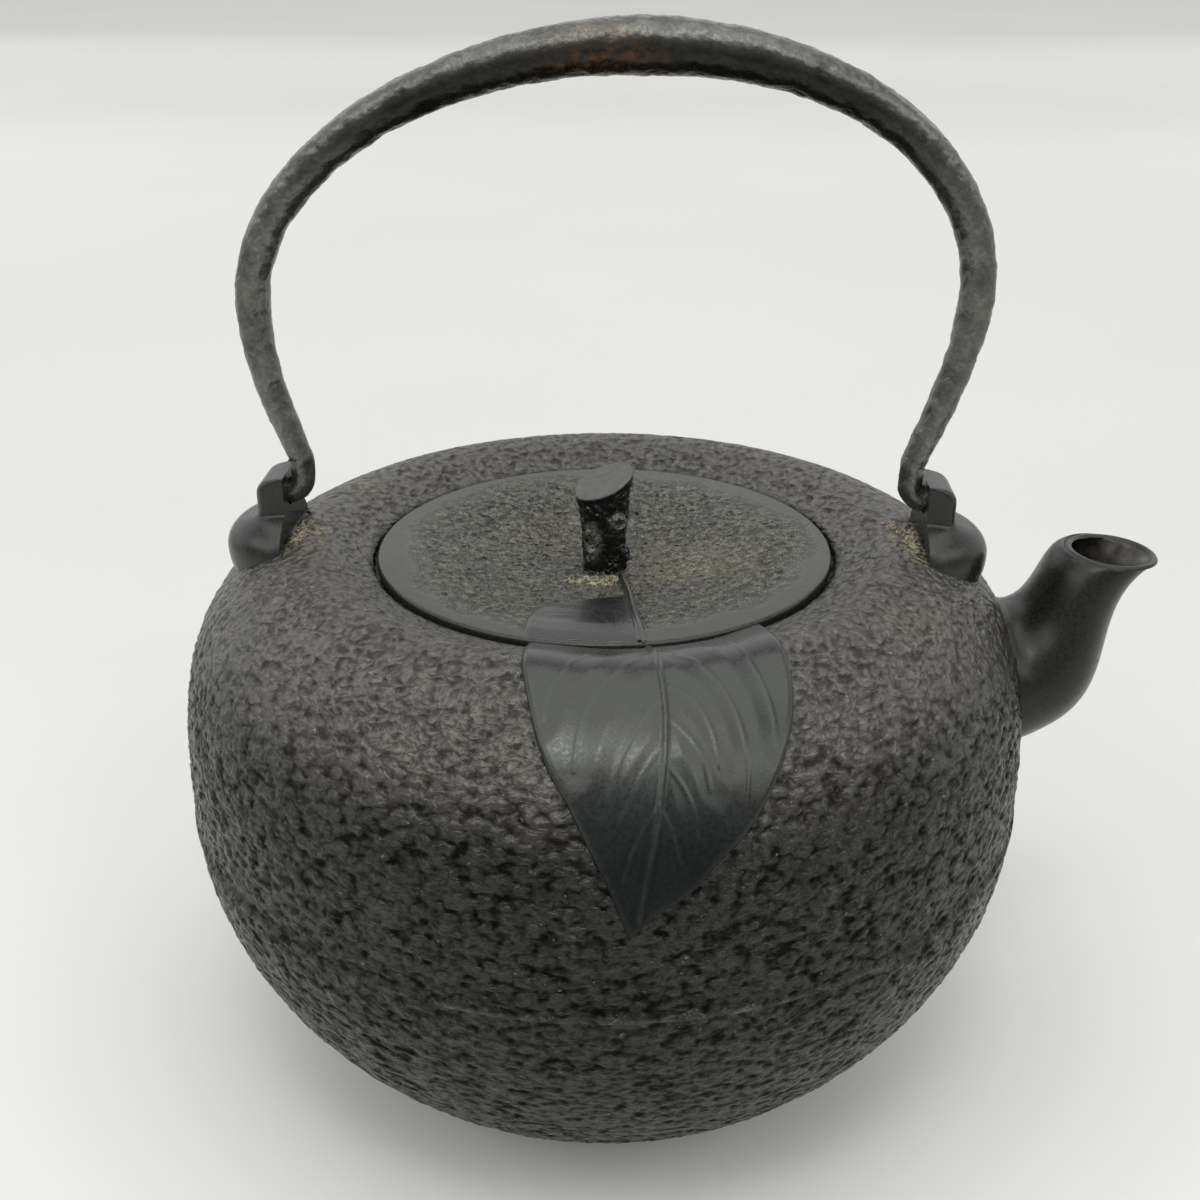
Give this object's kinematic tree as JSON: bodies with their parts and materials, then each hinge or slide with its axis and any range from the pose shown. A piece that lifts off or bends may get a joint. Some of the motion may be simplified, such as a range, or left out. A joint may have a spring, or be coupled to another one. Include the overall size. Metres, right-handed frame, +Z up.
{
  "type": "cast iron kettle",
  "caption": "Round cast iron kettle with a lift-off dished lid, a twig knob, a curved open spout, a raised leaf and a forged handle that swings in ears.",
  "frame": {"origin": "centre of the flat base that the kettle stands on", "axes": "+Z up along the body's axis, +X from the body's axis toward the spout, the leaf faces -Y, and the handle swings about the X direction"},
  "size_m": [0.194, 0.1703, 0.211],
  "materials": {
    "cast_body": "matt dark grey lacquered casting with an orange-peel texture",
    "cast_relief": "smooth greenish grey-black casting skin",
    "cast_lid": "smooth rim and finely pitted dish",
    "forged_handle": "hammered dark forged iron with faint rust",
    "black_knob": "glossy black lacquered casting",
    "washer_iron": "plain dull iron washer"
  },
  "bodies": {
    "kettle": {"base_pan": "cast_body", "shoulder_shell": "cast_body", "spout": "cast_relief", "ear_left": "cast_relief", "ear_right": "cast_relief", "leaf_relief": "cast_relief"},
    "lid_body": {"lid": "cast_lid", "lid_leaf": "cast_lid", "knob": "black_knob", "knob_washer": "washer_iron"},
    "handle": {"handle_bow": "forged_handle", "hook_left": "forged_handle", "hook_right": "forged_handle"}
  },
  "joints": [
    {"name": "handle_swing", "type": "hinge", "parent": "kettle", "child": "handle", "pos_m": [0, 0, 0.1225], "axis": [1, 0, 0], "range_deg": [-100, 99]},
    {"name": "lid_lift", "type": "slide", "parent": "kettle", "child": "lid_body", "axis": [0, 0, 1], "range_m": [0, 0.06]}
  ]
}
